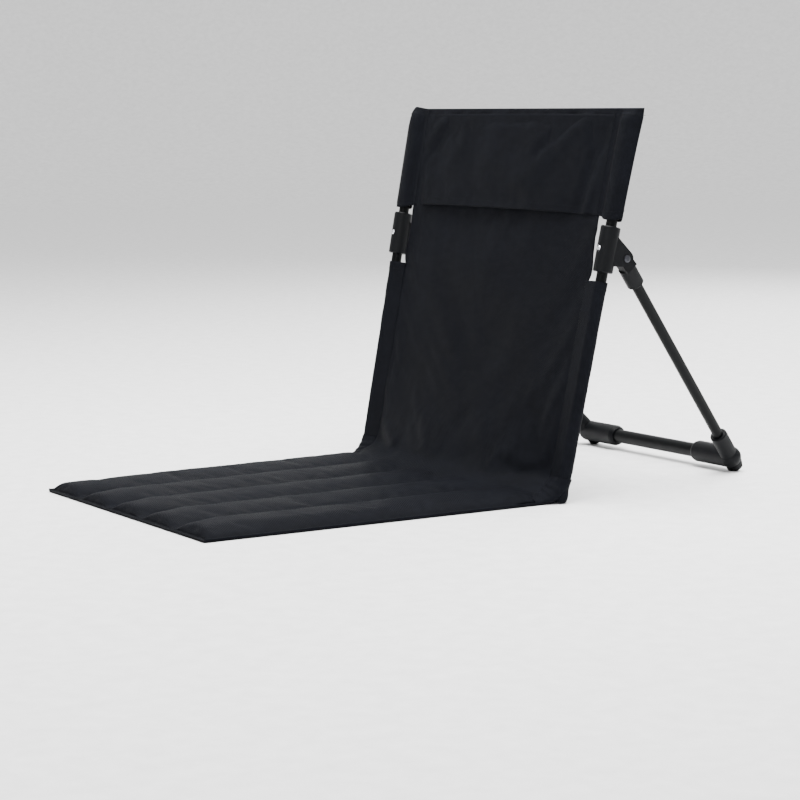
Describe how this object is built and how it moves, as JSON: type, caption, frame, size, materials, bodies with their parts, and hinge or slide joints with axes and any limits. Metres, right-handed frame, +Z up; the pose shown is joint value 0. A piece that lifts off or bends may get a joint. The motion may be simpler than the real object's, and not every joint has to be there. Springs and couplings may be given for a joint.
{
  "type": "folding camping floor chair",
  "caption": "Legless black folding chair for the ground: a quilted seat mat, a cloth back on two upright tubes, and a hinged rear frame that props the back up.",
  "frame": {"origin": "on the ground, under the centre of the open chair's bounding box", "axes": "+Z up; the sitter faces -Y and the rear frame stands at +Y; the sitter's left hand is at +X"},
  "size_m": [0.542, 0.8314, 0.4894],
  "materials": {
    "cover_cloth": "satin",
    "ground_sheet": "satin",
    "foam": "matte",
    "tube_paint": "satin",
    "moulded_plastic": "matte",
    "rivet_steel": "satin",
    "pin_steel": "satin"
  },
  "bodies": {
    "seat": {"seat_top_cover": "cover_cloth", "seat_ground_sheet": "ground_sheet", "fold_seam": "cover_cloth", "seat_foam_strip_1": "foam", "seat_foam_strip_2": "foam", "seat_foam_strip_3": "foam", "seat_foam_strip_4": "foam", "seat_foam_strip_5": "foam"},
    "backrest": {"back_panel": "cover_cloth", "hood_front": "cover_cloth", "hood_rear": "cover_cloth", "top_hem": "cover_cloth", "left_back_sleeve": "cover_cloth", "right_back_sleeve": "cover_cloth", "left_hood_sleeve": "cover_cloth", "right_hood_sleeve": "cover_cloth", "left_upright_tube": "tube_paint", "right_upright_tube": "tube_paint", "left_upright_top_plug": "moulded_plastic", "right_upright_top_plug": "moulded_plastic", "left_upright_foot_cap": "moulded_plastic", "right_upright_foot_cap": "moulded_plastic", "left_collar": "moulded_plastic", "right_collar": "moulded_plastic", "left_collar_rivet": "rivet_steel", "right_collar_rivet": "rivet_steel", "left_hinge_pin": "pin_steel", "right_hinge_pin": "pin_steel"},
    "rear_frame": {"left_strut_head": "moulded_plastic", "right_strut_head": "moulded_plastic", "left_strut_tube": "tube_paint", "right_strut_tube": "tube_paint", "left_foot": "moulded_plastic", "right_foot": "moulded_plastic", "cross_tube": "tube_paint", "left_head_rivet": "rivet_steel", "right_head_rivet": "rivet_steel", "left_foot_rivets": "rivet_steel", "right_foot_rivets": "rivet_steel"}
  },
  "joints": [
    {"name": "back_fold", "type": "hinge", "parent": "seat", "child": "backrest", "pos_m": [0, 0.0585, 0.0155], "axis": [1, 0, 0], "range_deg": [-72, 96]},
    {"name": "frame_fold", "type": "hinge", "parent": "backrest", "child": "rear_frame", "pos_m": [0, 0.15619, 0.30195], "axis": [-1, 0, 0], "range_deg": [0, 51]}
  ]
}
